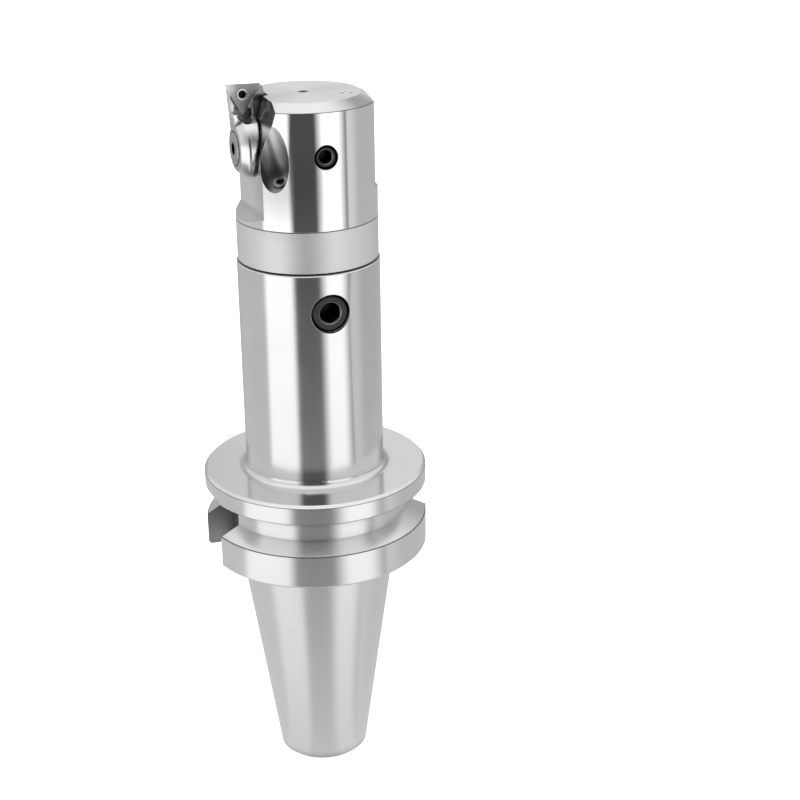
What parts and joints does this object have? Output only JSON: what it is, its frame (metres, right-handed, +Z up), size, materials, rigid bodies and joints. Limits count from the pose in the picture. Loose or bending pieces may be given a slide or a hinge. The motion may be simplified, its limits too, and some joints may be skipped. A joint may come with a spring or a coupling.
{
  "type": "fine boring head on a taper arbor",
  "caption": "Fine boring head with a dial-fed slide, triangular insert and lock screw, clamped by its pin in a steep-taper arbor with a gripper flange.",
  "frame": {"origin": "on the tool axis, in the plane of the taper's small end", "axes": "+Z up the tool axis to the cutting end, insert towards -X, dial towards +X, clamp and lock screws towards -Y"},
  "size_m": [0.063, 0.063, 0.2013],
  "materials": {
    "arbor_steel": "ground and polished hardened steel, faintly satin on the taper and flange",
    "head_steel": "polished hardened steel, with a satin ring at its foot",
    "slide_steel": "ground steel",
    "hardware_steel": "plain machined steel",
    "spring_steel": "spring steel, oiled",
    "black_screw": "black oxide on alloy steel",
    "holder_steel": "satin nickel on alloy steel",
    "holder_screw_steel": "dark polished alloy steel",
    "carbide": "ground cemented carbide",
    "dial_metal": "satin chrome with dark engraved marks",
    "bronze": "bearing bronze",
    "pad_brass": "plain brass",
    "seal_rubber": "nitrile rubber"
  },
  "bodies": {
    "arbor": {"taper_arbor": "arbor_steel", "drive_dowel": "hardware_steel", "head_body": "head_steel", "thrust_washer": "hardware_steel", "wave_washer": "spring_steel", "retaining_nut": "hardware_steel", "slide_seal": "seal_rubber", "key_screw": "black_screw", "coolant_nozzle": "hardware_steel", "plug_ball": "hardware_steel"},
    "dial_spindle": {"dial": "dial_metal", "feed_screw": "hardware_steel", "dial_seal": "seal_rubber"},
    "tool_slide": {"slide_bar": "slide_steel", "feed_nut": "bronze", "insert_holder": "holder_steel", "holder_screw": "holder_screw_steel", "cutting_insert": "carbide", "insert_screw": "holder_screw_steel"},
    "slide_lock": {"lock_screw": "black_screw"},
    "lock_pad": {"pressure_pad": "pad_brass"},
    "head_clamp": {"clamp_screw": "black_screw"}
  },
  "joints": [
    {"name": "dial_turn", "type": "hinge", "parent": "arbor", "child": "dial_spindle", "pos_m": [0.012, 0, 0.1844], "axis": [-1, 0, 0], "range_deg": [-720, 8640]},
    {"name": "slide_feed", "type": "slide", "parent": "arbor", "child": "tool_slide", "axis": [-1, 0, 0], "range_m": [-0.0005, 0.006]},
    {"name": "lock_turn", "type": "hinge", "parent": "arbor", "child": "slide_lock", "pos_m": [0, -0.015, 0.1844], "axis": [0, 1, 0], "range_deg": [0, 108]},
    {"name": "pad_press", "type": "slide", "parent": "arbor", "child": "lock_pad", "axis": [0, 1, 0], "range_m": [0, 0.0003]},
    {"name": "clamp_turn", "type": "hinge", "parent": "arbor", "child": "head_clamp", "pos_m": [0, -0.013, 0.1424], "axis": [0, 1, 0], "range_deg": [-900, 0]}
  ],
  "couplings": [
    {"joint": "dial_turn", "follows": "slide_feed", "rad_per_m": 25133},
    {"joint": "lock_turn", "follows": "pad_press", "rad_per_m": 6283.2}
  ]
}
